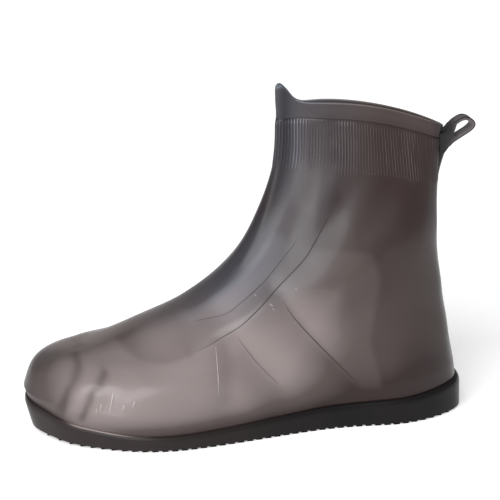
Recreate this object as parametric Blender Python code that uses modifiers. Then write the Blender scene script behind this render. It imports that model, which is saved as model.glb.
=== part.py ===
# Slip-on rain shoe cover: a thin moulded boot that is pulled over a shoe, left foot.
# The sole stands on Z = 0, the toe points to -X, the outer side of the foot is -Y.
# The origin is on the ground, half way along the sole, on its long axis.
# Lengths are in metres.

import math
from collections import namedtuple

import bmesh
import bpy
from mathutils import Vector

# Outsole
SOLE_LENGTH = 0.299  # heel to toe over the side wall
BALL_WIDTH = 0.123  # across the side wall at the ball of the foot
SOLE_PLATE = 0.0038  # from the ground to the top of the sole plate
FOXING_WALL = 0.0028  # thickness of the raised side wall
FOXING_EDGE = 0.0005  # rounding along the top of the side wall
WALL_HEIGHT = 0.0215  # from the sole's bottom to the top of the side wall at the heel
WALL_TUCK = 0.0060  # most that the sole's bottom edge stands inside the side wall
TOE_SPRING = 0.0025  # how far the toe end lifts off the ground
TOE_SPRING_START = 0.80  # share of the sole length where the lift begins

# Tread
TREAD_PITCH = 0.0064
GROOVE_WIDTH = 0.0022
GROOVE_DEPTH = 0.0011

# Upper
FILM_WALL = 0.0013
FLOOR_CORNER = 0.0030  # rounding where the film's wall meets its floor
BACK_HEIGHT = 0.195  # rim above the ground at the back
FRONT_HEIGHT = 0.213  # rim above the ground at the front fold, without its peak
BAND_HEIGHT = 0.0090  # smooth band below the rim
RIB_LENGTH = 0.0345  # ribbed zone below the band

# Ribs
RIB_HEIGHT = 0.0005  # how far a rib stands out of the film
RIB_END = 0.0020  # length over which a rib fades at each end

# Rim band
BAND_PROUD = 0.0006  # how far the band stands out of the film
BAND_INNER = 0.0004  # how far it stands into the mouth
BAND_EDGE = 0.0008  # rounding of the rim
PEAK_RISE = 0.0136  # rim of the front fold above the rest
PEAK_BACK = 0.0025  # from the front edge of the fold back to the peak
PEAK_SPREAD = 0.0085

# Pull loop
STRAP_WIDTH = 0.0100
STRAP_THICKNESS = 0.0020
STRAP_ROUNDING = 0.0004
LOOP_REACH = 0.0208  # from the shaft to the middle of the strap at the tip
LOOP_RISE = 0.0184  # from the lower end of the loop's root up to its tip
LOOP_DROP = 0.0187  # from the rim down to the lower end of the root

CLEARANCE = 0.0003  # gap that touching pieces keep

SAMPLES = 4  # points between two places of the plan
ROWS = 2  # steps between two sections of the upper
RIBS_PER_COLUMN = 2
WELD_DISTANCE = 0.00008  # closes the slivers that a groove leaves beside a corner
SEAM_DISTANCE = 0.00001  # joins the caps of the pull loop to its sides
ARC_MIDDLE = 1 - math.sqrt(0.5)  # from a corner's two faces to the middle of its round, for radius 1
SHARP_ANGLE = 35  # degrees

# Plan of the sole, from heel to toe: share of the length, half widths to the outer and the
# inner side as shares of the ball width, top of the side wall as a share of its height at
# the heel, and the share of the tuck that the bottom edge has there.
Place = namedtuple("Place", "name along outer inner wall_top tuck")
PLAN = (
    Place("heel_end", 0.000, 0.000, 0.000, 1.000, -0.10),
    Place("heel_round", 0.030, 0.205, 0.205, 0.986, 0.00),
    Place("heel", 0.150, 0.352, 0.335, 0.837, 0.10),
    Place("waist", 0.340, 0.356, 0.318, 0.721, 0.10),
    Place("ball", 0.690, 0.506, 0.450, 0.465, 0.12),
    Place("toe", 0.885, 0.374, 0.420, 0.628, 0.40),
    Place("toe_round", 0.972, 0.180, 0.268, 0.860, 0.75),
    Place("toe_end", 1.000, 0.000, 0.000, 0.930, 0.90),
)

# Sections of the upper, from its bulge over the side wall to the rim. back and front are
# places on the sole length, back_up and front_up shares of the rim's height there. The six
# widths are shares of the plan's half widths at its places, and dip is how far the middle
# of a section hangs below the line from back to front, as a share of the back height.
Section = namedtuple(
    "Section", "name back back_up front front_up heel_round heel waist ball toe toe_round dip"
)
RIB_HEAD_DROP = BAND_HEIGHT
RIB_FOOT_DROP = BAND_HEIGHT + RIB_LENGTH
SECTIONS = (
    Section("bulge", 0.016, 0.170, 0.998, 0.124, 0.98, 0.98, 0.99, 1.02, 1.02, 1.00, 0.028),
    Section("side", 0.027, 0.250, 0.977, 0.195, 0.96, 0.95, 0.96, 0.97, 0.96, 0.94, 0.018),
    Section("vamp_low", 0.035, 0.325, 0.930, 0.229, 0.92, 0.91, 0.91, 0.84, 0.82, 0.84, 0.004),
    Section("vamp", 0.045, 0.400, 0.855, 0.255, 0.86, 0.86, 0.88, 0.72, 0.66, 0.70, -0.008),
    Section("vamp_high", 0.051, 0.470, 0.760, 0.309, 0.82, 0.82, 0.88, 0.66, 0.54, 0.60, -0.010),
    Section("instep", 0.058, 0.545, 0.655, 0.374, 0.78, 0.78, 0.88, 0.62, 0.46, 0.52, -0.008),
    Section("ankle", 0.062, 0.610, 0.560, 0.473, 0.72, 0.74, 0.84, 0.56, 0.38, 0.42, 0.000),
    Section("throat", 0.062, 0.670, 0.493, 0.597, 0.62, 0.66, 0.74, 0.46, 0.28, 0.30, -0.006),
    Section(
        "rib_foot", 0.060, 1 - RIB_FOOT_DROP / BACK_HEIGHT,
        0.438, 1 - RIB_FOOT_DROP / FRONT_HEIGHT, 0.42, 0.44, 0.48, 0.30, 0.17, 0.19, -0.014,
    ),
    Section(
        "rib_head", 0.053, 1 - RIB_HEAD_DROP / BACK_HEIGHT,
        0.429, 1 - RIB_HEAD_DROP / FRONT_HEIGHT, 0.22, 0.20, 0.20, 0.14, 0.07, 0.14, -0.036,
    ),
    Section("rim", 0.050, 1.000, 0.429, 1.000, 0.18, 0.16, 0.155, 0.11, 0.055, 0.13, -0.042),
)
RIB_FOOT = [section.name for section in SECTIONS].index("rib_foot")
RIB_HEAD = RIB_FOOT + 1
RIM = RIB_FOOT + 2

CREASE_DEPTH = 0.0021  # of the deepest crease
CREASE_SPREAD = 0.012  # half width of most creases
CREASE_FADE = 0.016  # the creases die out this near the middle line of the foot

# Soft creases in the film. Each runs in a straight line in the side view between two
# points: shares of the sole length from the heel and of the back height. depth is the share
# of the crease depth that it is pressed in, negative where it stands out, and spread its
# share of the half width. side is -1 on the outer side of the foot, 1 on the inner side.
Crease = namedtuple("Crease", "name side along up along_end up_end depth spread")
CREASES = (
    Crease("shaft_outer", -1, 0.250, 0.90, 0.420, 0.50, 1.00, 1.00),
    Crease("shaft_swell_outer", -1, 0.150, 0.74, 0.330, 0.44, -0.86, 1.08),
    Crease("heel_outer", -1, 0.440, 0.47, 0.270, 0.16, 0.95, 1.00),
    Crease("quarter_outer", -1, 0.575, 0.34, 0.572, 0.12, 0.86, 0.83),
    Crease("toe_outer", -1, 0.800, 0.24, 0.860, 0.12, 0.86, 0.67),
    Crease("shaft_inner", 1, 0.220, 0.86, 0.430, 0.52, 1.00, 1.00),
    Crease("heel_inner", 1, 0.450, 0.46, 0.300, 0.18, 0.90, 1.00),
    Crease("quarter_inner", 1, 0.620, 0.33, 0.600, 0.13, 0.81, 0.92),
)

# Centre line of the pull loop: shares of its reach out of the shaft and of its rise.
Turn = namedtuple("Turn", "name out up")
LOOP = (
    Turn("root_low", 0.00, 0.00),
    Turn("lower_bend", 0.27, 0.38),
    Turn("lower_middle", 0.58, 0.61),
    Turn("lower_tip", 0.89, 0.83),
    Turn("tip", 1.00, 1.00),
    Turn("upper_tip", 0.90, 1.16),
    Turn("upper_middle", 0.69, 1.23),
    Turn("upper_run", 0.47, 1.12),
    Turn("upper_bend", 0.29, 0.95),
    Turn("root_high", 0.00, 0.66),
)
WEB_TIP = Turn("web_tip", 0.30, 0.60)  # the legs are joined as far as here
EYE_START = 1.6  # the loop's eye is open between these places of its centre line
EYE_END = 7.4
LOOP_STEPS = 3

COLORS = {
    # name: red, green, blue, roughness
    "outsole": (0.050, 0.043, 0.040, 0.45),
    "upper_shell": (0.160, 0.145, 0.142, 0.30),
    "ribbed_cuff": (0.130, 0.118, 0.116, 0.35),
    "rim_band": (0.100, 0.088, 0.084, 0.32),
    "pull_loop": (0.070, 0.062, 0.058, 0.40),
}


def hermite(before, start, end, after, t):
    # Smooth step from start to end that leaves and arrives in line with its neighbours.
    return 0.5 * (
        2 * start
        + (end - before) * t
        + (2 * before - 5 * start + 4 * end - after) * t ** 2
        + (3 * start - before - 3 * end + after) * t ** 3
    )


def along_table(values, place):
    # Value of an open table at a place between two of its rows.
    last = len(values) - 1
    index = min(int(place), last - 1)
    picks = [values[min(max(index + k, 0), last)] for k in (-1, 0, 1, 2)]
    return hermite(*picks, place - index)


def round_table(values, place):
    # Value of a closed table at a place between two of its rows.
    count = len(values)
    index = int(math.floor(place))
    picks = [values[(index + k) % count] for k in (-1, 0, 1, 2)]
    return hermite(*picks, place - index)


def closed(outer, inner):
    # A closed table round the sole: heel, outer side, toe, and back along the inner side.
    return list(outer) + list(inner[-2:0:-1])


ALONG = closed([p.along for p in PLAN], [p.along for p in PLAN])
ACROSS = closed([-p.outer for p in PLAN], [p.inner for p in PLAN])
WALL_TOP = closed([WALL_HEIGHT * p.wall_top for p in PLAN], [WALL_HEIGHT * p.wall_top for p in PLAN])
TUCK = closed([p.tuck for p in PLAN], [p.tuck for p in PLAN])
COLUMNS = SAMPLES * len(ALONG)


def places(count):
    # That many places round the sole.
    return [len(ALONG) * k / count for k in range(count)]


def x_at(along):
    return SOLE_LENGTH * (0.5 - along)


def toe_lift(x):
    # Height of the sole's bottom above the ground.
    past = max(0.0, 0.5 - x / SOLE_LENGTH - TOE_SPRING_START) / (1 - TOE_SPRING_START)
    return TOE_SPRING * past ** 2


def inset(points, distance):
    # Move the points of a ring inwards, square to it in plan. distance may be a list.
    count = len(points)
    moved = []
    for k, point in enumerate(points):
        run = points[(k + 1) % count] - points[k - 1]
        inwards = Vector((run.y, -run.x, 0)).normalized()
        step = distance[k] if isinstance(distance, list) else distance
        moved.append(point + inwards * step)
    return moved


def even(points):
    # The same ring with its points evenly spaced along each side, from heel to toe.
    count = len(points)
    half = count // 2
    found = []
    for start in (0, half):
        side = [points[(start + k) % count] for k in range(half + 1)]
        run = [0.0]
        for a, b in zip(side, side[1:]):
            run.append(run[-1] + (b - a).length)
        index = 0
        for k in range(half):
            target = run[-1] * k / half
            while run[index + 1] < target:
                index += 1
            share = (target - run[index]) / (run[index + 1] - run[index])
            found.append(side[index].lerp(side[index + 1], share))
    return found


def sole_ring(height, wall):
    # Ring of the sole, that far inside its outer face. height gives the ring's height above
    # the sole's bottom from that of the side wall's top.
    points = []
    leans = []
    for place in places(COLUMNS):
        along = round_table(ALONG, place)
        point = Vector((x_at(along), BALL_WIDTH * round_table(ACROSS, place), 0))
        top = round_table(WALL_TOP, place)
        up = height(top)
        point.z = toe_lift(point.x) + up
        points.append(point)
        leans.append(wall + WALL_TUCK * round_table(TUCK, place) * max(0.0, 1 - up / top))
    return inset(points, leans)


def section_values(row):
    # The table's section at a place between two of its rows.
    found = {}
    for name in Section._fields[1:]:
        found[name] = along_table([getattr(section, name) for section in SECTIONS], row)
    return Section(name="", **found)


def crease_depth(point, side):
    # How far the creases press the film in at a point.
    depth = 0.0
    for crease in CREASES:
        if crease.side != side:
            continue
        start = Vector((x_at(crease.along), crease.up * BACK_HEIGHT))
        end = Vector((x_at(crease.along_end), crease.up_end * BACK_HEIGHT))
        run = end - start
        share = (Vector((point.x, point.z)) - start).dot(run) / run.length_squared
        near = start + run * min(max(share, 0.0), 1.0)
        distance = (Vector((point.x, point.z)) - near).length
        spread = crease.spread * CREASE_SPREAD
        depth += crease.depth * CREASE_DEPTH * math.exp(-((distance / spread) ** 2))
    return depth * min(1.0, abs(point.y) / CREASE_FADE)


def upper_ring(row, wall=0.0, count=COLUMNS, spaced=False, rise=0.0):
    # Ring of the upper at a place in its table, that far inside the film's outer face.
    # rise is the share of the front fold's peak that it has.
    shape = section_values(row)
    back = Vector((x_at(shape.back), 0, shape.back_up * BACK_HEIGHT))
    front = Vector((x_at(shape.front), 0, shape.front_up * FRONT_HEIGHT))
    widths = [0, shape.heel_round, shape.heel, shape.waist, shape.ball, shape.toe,
              shape.toe_round, 0]
    share = closed(widths, widths)
    half_widths = [BALL_WIDTH * a * b for a, b in zip(ACROSS, share)]
    points = []
    depths = []
    for place in places(count):
        along = round_table(ALONG, place)
        point = back.lerp(front, along)
        point.y = round_table(half_widths, place)
        point.z += toe_lift(point.x) - shape.dip * BACK_HEIGHT * 4 * along * (1 - along)
        from_front = (point.x - front.x - PEAK_BACK) / PEAK_SPREAD
        point.z += rise * PEAK_RISE * math.exp(-(from_front ** 2))
        points.append(point)
        depths.append(crease_depth(point, math.copysign(1, point.y)) * (1 - rise))
    points = inset(points, depths)
    if spaced:
        points = even(points)
    return inset(points, wall)


def lofted(name, rings, first_cap=False, last_cap=False, ring_closed=False):
    # Join rings to a surface. A ring may have a whole multiple of the other's points.
    mesh = bmesh.new()
    loops = [[mesh.verts.new(point) for point in ring] for ring in rings]
    pairs = list(zip(loops, loops[1:]))
    if ring_closed:
        pairs.append((loops[-1], loops[0]))
    for low, high in pairs:
        count = min(len(low), len(high))
        low_step = len(low) // count
        high_step = len(high) // count
        for k in range(count):
            bottom = [low[(k * low_step + j) % len(low)] for j in range(low_step + 1)]
            top = [high[(k * high_step + j) % len(high)] for j in range(high_step + 1)]
            mesh.faces.new(top + bottom[::-1])
    if first_cap:
        cap(mesh, loops[0])
    if last_cap:
        cap(mesh, loops[-1][:1] + loops[-1][:0:-1])
    data = bpy.data.meshes.new(name)
    mesh.to_mesh(data)
    mesh.free()
    return new_object(name, data)


def cap(mesh, loop):
    # Close a ring that starts at the heel with strips that run straight across the foot.
    count = len(loop)
    for k in range(count // 2):
        corners = (k, k + 1, count - k - 1, count - k)
        found = []
        for corner in corners:
            vert = loop[corner % count]
            if vert not in found:
                found.append(vert)
        mesh.faces.new(found)


def new_object(name, data):
    made = bpy.data.objects.new(name, data)
    bpy.context.scene.collection.objects.link(made)
    return made


def make_outsole():
    body = lofted(
        "outsole",
        [
            sole_ring(lambda top: 0.0, 0.0),
            sole_ring(lambda top: SOLE_PLATE, 0.0),
            sole_ring(lambda top: top - FOXING_EDGE, 0.0),
            sole_ring(lambda top: top, FOXING_EDGE),
            sole_ring(lambda top: top, FOXING_WALL),
            sole_ring(lambda top: SOLE_PLATE, FOXING_WALL),
        ],
        first_cap=True, last_cap=True,
    )
    cutter = make_grooves()
    cut = body.modifiers.new("tread", "BOOLEAN")
    cut.operation = "DIFFERENCE"
    cut.object = cutter
    weld = body.modifiers.new("weld", "WELD")
    weld.merge_threshold = WELD_DISTANCE
    return body, cutter


def make_grooves():
    # One bar per groove. The middle of the sole is on a tread bar, not on a groove.
    mesh = bmesh.new()
    reach = int((SOLE_LENGTH / 2 - 2 * WALL_TUCK) / TREAD_PITCH)
    for index in range(-reach, reach):
        x = (index + 0.5) * TREAD_PITCH
        ahead = x - TREAD_PITCH / 2
        behind = x + TREAD_PITCH / 2
        slope = math.atan2(toe_lift(ahead) - toe_lift(behind), TREAD_PITCH)
        made = bmesh.ops.create_cube(mesh, size=1)["verts"]
        bmesh.ops.scale(mesh, verts=made, vec=(GROOVE_WIDTH, 2 * BALL_WIDTH, 2 * GROOVE_DEPTH))
        for vert in made:
            side, up = vert.co.x, vert.co.z
            vert.co.x = x + side * math.cos(slope) + up * math.sin(slope)
            vert.co.z = toe_lift(x) + up * math.cos(slope) - side * math.sin(slope)
    data = bpy.data.meshes.new("tread_grooves")
    mesh.to_mesh(data)
    mesh.free()
    return new_object("tread_grooves", data)


def make_upper_shell():
    inside = FOXING_WALL + CLEARANCE
    floor = SOLE_PLATE + CLEARANCE
    rings = [
        sole_ring(lambda top: floor, inside + FLOOR_CORNER),
        sole_ring(lambda top: floor + FLOOR_CORNER * ARC_MIDDLE, inside + FLOOR_CORNER * ARC_MIDDLE),
        sole_ring(lambda top: floor + FLOOR_CORNER, inside),
        sole_ring(lambda top: top, inside),
    ]
    bulge = upper_ring(0)
    rings.append([a.lerp(b, 0.5) for a, b in zip(rings[-1], bulge)])
    for step in range(RIB_FOOT * ROWS + 1):
        rings.append(upper_ring(step / ROWS))
    shell = lofted("upper_shell", rings, first_cap=True)
    thick = shell.modifiers.new("film", "SOLIDIFY")
    thick.thickness = FILM_WALL
    thick.offset = -1
    thick.use_even_offset = True
    return shell


def lifted(points, distance):
    # The same ring, that much higher.
    return [point + Vector((0, 0, distance)) for point in points]


def make_ribbed_cuff():
    # A rib and a furrow alternate round the outside, and the inside is smooth.
    step = 2 * RIBS_PER_COLUMN
    fine = COLUMNS * step
    ribs = [0.0 if k % 2 else -RIB_HEIGHT for k in range(fine)]
    fade = RIB_END / RIB_LENGTH
    middle = RIB_FOOT + 0.5
    top = RIB_HEAD - CLEARANCE / RIB_LENGTH
    rings = [lifted(upper_ring(RIB_FOOT, 0.0, fine, True), CLEARANCE)]
    for row in (RIB_FOOT + fade, middle, RIB_HEAD - fade):
        rings.append(inset(upper_ring(row, 0.0, fine, True), ribs))
    rings.append(upper_ring(top, 0.0, fine, True))
    for row in (top, middle):
        rings.append(upper_ring(row, FILM_WALL, fine, True)[::step])
    rings.append(lifted(upper_ring(RIB_FOOT, FILM_WALL, fine, True)[::step], CLEARANCE))
    return lofted("ribbed_cuff", rings, ring_closed=True)


def make_rim_band():
    inner = FILM_WALL + BAND_INNER
    edge = BAND_EDGE / BAND_HEIGHT
    profile = (
        # share of the band's height, depth inside the film's outer face
        (0.00, 0.0),
        (edge, -BAND_PROUD),
        (0.50, -BAND_PROUD),
        (1 - edge, -BAND_PROUD),
        (1.00, BAND_EDGE - BAND_PROUD),
        (1.00, inner - BAND_EDGE),
        (1 - edge, inner),
        (0.50, inner),
        (0.00, inner),
    )
    rings = []
    for up, depth in profile:
        rings.append(upper_ring(RIB_HEAD + up, depth, COLUMNS * 2, True, rise=up))
    return lofted("rim_band", rings, ring_closed=True)


def clear_of_shaft(x, z):
    # The same place, moved back where it would touch the cuff or the band.
    share = (z / BACK_HEIGHT - SECTIONS[RIB_FOOT].back_up) * BACK_HEIGHT / RIB_LENGTH
    back = x_at(section_values(min(RIB_FOOT + share, RIM)).back)
    return max(x, back + max(RIB_HEIGHT, BAND_PROUD) + CLEARANCE + STRAP_ROUNDING), z


def make_pull_loop():
    # Side outline of a strap bent to a teardrop, its two ends joined by a web at the shaft.
    root = BACK_HEIGHT - LOOP_DROP
    foot = clear_of_shaft(0.0, root)[0]

    def spot(turn):
        return Vector((foot + turn.out * LOOP_REACH, root + turn.up * LOOP_RISE))

    path = [spot(turn) for turn in LOOP]
    last = len(path) - 1
    ahead = 1 / LOOP_STEPS

    def beside(place, distance):
        run = along_table(path, min(place + ahead, last)) - along_table(path, max(place - ahead, 0))
        return along_table(path, place) + Vector((run.y, -run.x)).normalized() * distance

    half = STRAP_THICKNESS / 2 - STRAP_ROUNDING
    outer = [beside(k / LOOP_STEPS, half) for k in range(last * LOOP_STEPS + 1)]
    outer = [clear_of_shaft(point.x, point.y) for point in outer]
    eye_steps = round((EYE_END - EYE_START) * LOOP_STEPS)
    eye = [tuple(spot(WEB_TIP))]
    for k in range(eye_steps + 1):
        place = EYE_START + (EYE_END - EYE_START) * k / eye_steps
        eye.append(tuple(beside(place, -half)))
    curve = bpy.data.curves.new("pull_loop", "CURVE")
    curve.dimensions = "2D"
    curve.fill_mode = "BOTH"
    curve.extrude = STRAP_WIDTH / 2 - STRAP_ROUNDING
    curve.bevel_depth = STRAP_ROUNDING
    curve.bevel_resolution = 1
    for outline in (outer, eye):
        line = curve.splines.new("POLY")
        line.points.add(len(outline) - 1)
        for point, (x, z) in zip(line.points, outline):
            point.co = (x, z, 0, 1)
        line.use_cyclic_u = True
    outline = new_object("pull_loop_outline", curve)
    outline.rotation_euler.x = math.radians(90)
    bpy.context.view_layer.update()
    data = bpy.data.meshes.new_from_object(
        outline.evaluated_get(bpy.context.evaluated_depsgraph_get())
    )
    data.transform(outline.matrix_world)
    bpy.data.objects.remove(outline)
    mesh = bmesh.new()
    mesh.from_mesh(data)
    bmesh.ops.remove_doubles(mesh, verts=mesh.verts, dist=SEAM_DISTANCE)
    bmesh.ops.recalc_face_normals(mesh, faces=mesh.faces)
    mesh.to_mesh(data)
    mesh.free()
    return new_object("pull_loop", data)


def rubber(name):
    red, green, blue, roughness = COLORS[name]
    material = bpy.data.materials.new(name)
    material.use_nodes = True
    shader = material.node_tree.nodes["Principled BSDF"]
    shader.inputs["Base Color"].default_value = (red, green, blue, 1)
    shader.inputs["Roughness"].default_value = roughness
    shader.inputs["Metallic"].default_value = 0
    return material


def collection(name):
    made = bpy.data.collections.new(name)
    bpy.context.scene.collection.children.link(made)
    return made


def main():
    for old in list(bpy.data.objects):
        bpy.data.objects.remove(old)
    parts = collection("shoe_cover")
    guides = collection("cutters")
    outsole, grooves = make_outsole()
    pieces = [outsole, make_upper_shell(), make_ribbed_cuff(), make_rim_band(), make_pull_loop()]
    for piece in pieces:
        piece.data.materials.append(rubber(piece.name))
        piece.data.shade_smooth()
        piece.data.set_sharp_from_angle(angle=math.radians(SHARP_ANGLE))
        bpy.context.scene.collection.objects.unlink(piece)
        parts.objects.link(piece)
    bpy.context.scene.collection.objects.unlink(grooves)
    guides.objects.link(grooves)
    grooves.hide_render = True
    grooves.display_type = "WIRE"


main()
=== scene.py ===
# Slip-on rain shoe cover for a left foot, dressed over its imported solids.
# Lengths are in metres. The toe points to -X, the outer side of the foot is -Y, the ground is Z = 0.
# Places on the cover are shares: along the sole from heel to toe, and of the height at the back.
# Tones run from 0, light, to 1, dark; they hold the film's own tone with painted shade and painted
# highlights.
import math

import bmesh
import bpy
import numpy as np
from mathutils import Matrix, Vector, noise


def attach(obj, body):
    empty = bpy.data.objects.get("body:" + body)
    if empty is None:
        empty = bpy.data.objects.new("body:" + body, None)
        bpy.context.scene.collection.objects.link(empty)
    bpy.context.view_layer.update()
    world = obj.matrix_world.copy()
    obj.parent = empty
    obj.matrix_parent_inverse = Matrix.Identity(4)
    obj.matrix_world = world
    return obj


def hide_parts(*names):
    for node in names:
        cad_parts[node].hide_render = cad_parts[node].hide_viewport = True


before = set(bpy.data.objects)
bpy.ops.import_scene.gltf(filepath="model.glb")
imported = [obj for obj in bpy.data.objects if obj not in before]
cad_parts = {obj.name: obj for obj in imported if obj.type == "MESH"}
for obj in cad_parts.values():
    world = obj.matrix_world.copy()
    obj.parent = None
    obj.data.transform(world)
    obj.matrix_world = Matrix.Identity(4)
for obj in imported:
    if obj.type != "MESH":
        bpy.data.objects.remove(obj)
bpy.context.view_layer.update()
print("frame loaded:", ", ".join(sorted(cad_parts)))

# The sizes are the solids' own.
sole = {
    "length": 0.299,
    "ballWidth": 0.123,
    "plate": 0.0038,
    "wall": 0.0028,
    "wallHeight": 0.0215,  # at the heel
    "wallRings": 7,
    "edgeAcross": 0.0025,  # rounding of the wall's top, across it and down it
    "edgeDown": 0.0050,
    "edgeRings": 9,
    "tuck": 0.0060,  # most that the bottom edge stands inside the wall
    "toeSpring": 0.0025,
    "toeSpringStart": 0.80,
    "tone": 0.89,
    "heelTone": 0.10,  # how much darker the heel is
    "heelToneReach": (0.90, 0.30),  # where this starts and where it is full
    "edgePaintedHighlight": 0.85,  # painted highlight on the wall's top edge beside the ball of the foot
    "edgePaintedHighlightBack": (0.72, 0.84),
    "edgePaintedHighlightFront": (0.935, 0.895),
    "paintedHighlightRings": 4,  # the wall's topmost rings, which carry the painted highlight
}

# Plan of the sole, from heel to toe: shares of the length, the ball width, the wall's height
# and the tuck.
plan = {
    "along": [0.000, 0.030, 0.150, 0.340, 0.690, 0.885, 0.972, 1.000],
    "outer": [0.000, 0.205, 0.352, 0.356, 0.506, 0.374, 0.180, 0.000],
    "inner": [0.000, 0.205, 0.335, 0.318, 0.450, 0.420, 0.268, 0.000],
    "wallTop": [1.000, 0.986, 0.837, 0.721, 0.465, 0.628, 0.860, 0.930],
    "tuck": [-0.10, 0.00, 0.10, 0.10, 0.12, 0.40, 0.75, 0.90],
}

upper = {
    "film": 0.0013,
    "backHeight": 0.195,
    "frontHeight": 0.213,
    "floorCorner": 0.0030,
    "gap": 0.0003,  # to the sole
    "cornerRings": 5,
    "wallShares": (0.5, 1.0),  # rings up the sole's wall
    "joinShares": (0.25, 0.5, 0.75),  # rings from there to the lowest section
    "rowsPerSection": 10,
    "columnsPerPlace": 32,
    "edgeRows": 60,
    "narrowest": 0.00015,  # least distance of the rim's inner face from the middle
    "creaseDepth": 0.0021,
    "creaseSpread": 0.012,
    "creaseFade": 0.016,
    "waves": 0.0006,  # soft unevenness of the film
    "waveSize": 0.034,
    "waveFadeRows": 8,
}

band = {
    "height": 0.0090,
    "proud": 0.0006,
    "sunk": 0.0001,  # how far its lower edge lies in the film's face
    "swell": 0.5,  # share of the height over which it swells out of the film
    "inner": 0.0004,
    "edge": 0.0008,
    "faceRings": 12,
    "edgeRings": 6,
    "light": 0.12,  # how much lighter the band is than the film, and the painted highlight along its top edge
    "edgePaintedHighlight": 0.42,
    "peakRise": 0.0136,
    "peakBack": 0.0025,
    "peakSpread": 0.0085,
}

cuff = {
    "length": 0.0345,
    "rows": 16,
    "ribs": 124,
    "ribHeight": 0.0005,
    "ribSides": 6,
    "ribPoints": 9,
    "ribFade": 0.10,  # share of a rib's length over which it fades at each end
    "ribInset": 0.03,  # share of the cuff's length that stays free at each end
    "headStart": 0.13,  # the same share from a rib's top to where its painted highlight at the head starts
    "headRows": (0.08, 0.04, 0.0),
    # painted highlight on the rib heads
    "headPaintedHighlight": 0.30,
    "ribPaintedHighlight": 0.24,  # how much lighter a rib is painted than the film, a painted highlight
    "ribSink": 0.00040,  # how much less a rib stands out where the film is stretched
    "shows": 0.30,  # how far a rib shows, what the front, clusters and chance add to it
    "showsInFront": 0.45,
    "showsInCluster": 1.7,
    "showsUnevenly": 0.6,
    "showsLeast": 0.08,
    "showsBehind": 0.4,  # share that is left of it at the back
    "frontReach": (0.16, 0.34),
    "unevenStep": 0.37,  # steps through the noise from rib to rib
    "clusterStep": 0.13,
    "raggedFeet": 0.5,
}

# Sections of the upper: places on the sole length and shares of the rim's height at the back and
# at the front, six widths as shares of the plan's, and how far the middle hangs.
ribFootDrop = band["height"] + cuff["length"]
sections = {
    #        bulge  side   vampLow vamp  vampHigh instep ankle throat ribFoot ribHead rim
    "back": [0.016, 0.027, 0.035, 0.045, 0.051, 0.058, 0.062, 0.062, 0.060, 0.053, 0.050],
    "backUp": [0.170, 0.250, 0.325, 0.400, 0.470, 0.545, 0.610, 0.670,
               1 - ribFootDrop / upper["backHeight"], 1 - band["height"] / upper["backHeight"], 1.0],
    "front": [0.998, 0.977, 0.930, 0.855, 0.760, 0.655, 0.560, 0.493, 0.438, 0.429, 0.429],
    "frontUp": [0.124, 0.195, 0.229, 0.255, 0.309, 0.374, 0.473, 0.597,
                1 - ribFootDrop / upper["frontHeight"], 1 - band["height"] / upper["frontHeight"], 1.0],
    "heelRound": [0.98, 0.96, 0.92, 0.86, 0.82, 0.78, 0.72, 0.62, 0.42, 0.22, 0.18],
    "heel": [0.98, 0.95, 0.91, 0.86, 0.82, 0.78, 0.74, 0.66, 0.44, 0.20, 0.16],
    "waist": [0.99, 0.96, 0.91, 0.88, 0.88, 0.88, 0.84, 0.74, 0.48, 0.20, 0.155],
    "ball": [1.02, 0.97, 0.84, 0.72, 0.66, 0.62, 0.56, 0.46, 0.30, 0.14, 0.11],
    "toe": [1.02, 0.96, 0.82, 0.66, 0.54, 0.46, 0.38, 0.28, 0.17, 0.07, 0.055],
    "toeRound": [1.00, 0.94, 0.84, 0.70, 0.60, 0.52, 0.42, 0.30, 0.19, 0.14, 0.13],
    "dip": [0.028, 0.018, 0.004, -0.008, -0.010, -0.008, 0.000, -0.006, -0.014, -0.036, -0.042],
}
ribFoot, ribHead, rimRow = 8, 9, 10

# Soft creases, the same as in the solids: side, which is -1 on the outer side of the foot, the
# crease's knots, and shares of its depth and spread.
creases = [
    (-1, [(0.25, 0.9), (0.42, 0.5)], 1.0, 1.0),
    (-1, [(0.15, 0.74), (0.33, 0.44)], -0.86, 1.08),
    (-1, [(0.44, 0.47), (0.27, 0.16)], 0.95, 1.0),
    (-1, [(0.575, 0.34), (0.572, 0.12)], 0.86, 0.83),
    (-1, [(0.8, 0.24), (0.86, 0.12)], 0.86, 0.67),
    (1, [(0.22, 0.86), (0.43, 0.52)], 1.0, 1.0),
    (1, [(0.45, 0.46), (0.3, 0.18)], 0.9, 1.0),
    (1, [(0.62, 0.33), (0.6, 0.13)], 0.81, 0.92),
]

# Shallow pleats beside the toe that only the looks have, in the same form.
firstPleat = [(0.884, 0.258), (0.914, 0.196), (0.932, 0.117)]
secondPleat = [(0.834, 0.25), (0.861, 0.201), (0.888, 0.11)]
innerPleat = [(0.87, 0.26), (0.925, 0.12)]
pleats = [
    (-1, firstPleat, 0.34, 0.24),
    (-1, secondPleat, 0.34, 0.24),
    (1, innerPleat, 0.43, 0.33),
]


def smooth(before, start, end, after, t):
    # the same smooth step as in the solids
    return 0.5 * (2 * start + (end - before) * t + (2 * before - 5 * start + 4 * end - after) * t ** 2
                  + (3 * start - before - 3 * end + after) * t ** 3)


def openTable(values, place):
    last = len(values) - 1
    index = min(int(place), last - 1)
    picks = [np.asarray(values[min(max(index + k, 0), last)], float) for k in (-1, 0, 1, 2)]
    return smooth(*picks, place - index)


def roundTable(values):
    # a table round the foot, read at every column
    values = np.asarray(values, float)
    index = np.floor(columns).astype(int)
    return smooth(*[values[(index + k) % len(values)] for k in (-1, 0, 1, 2)], columns - index)


def bothSides(outer, inner):
    return np.array(list(outer) + list(inner[-2:0:-1]))


def sameBothSides(values):
    return roundTable(bothSides(values, values))


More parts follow.
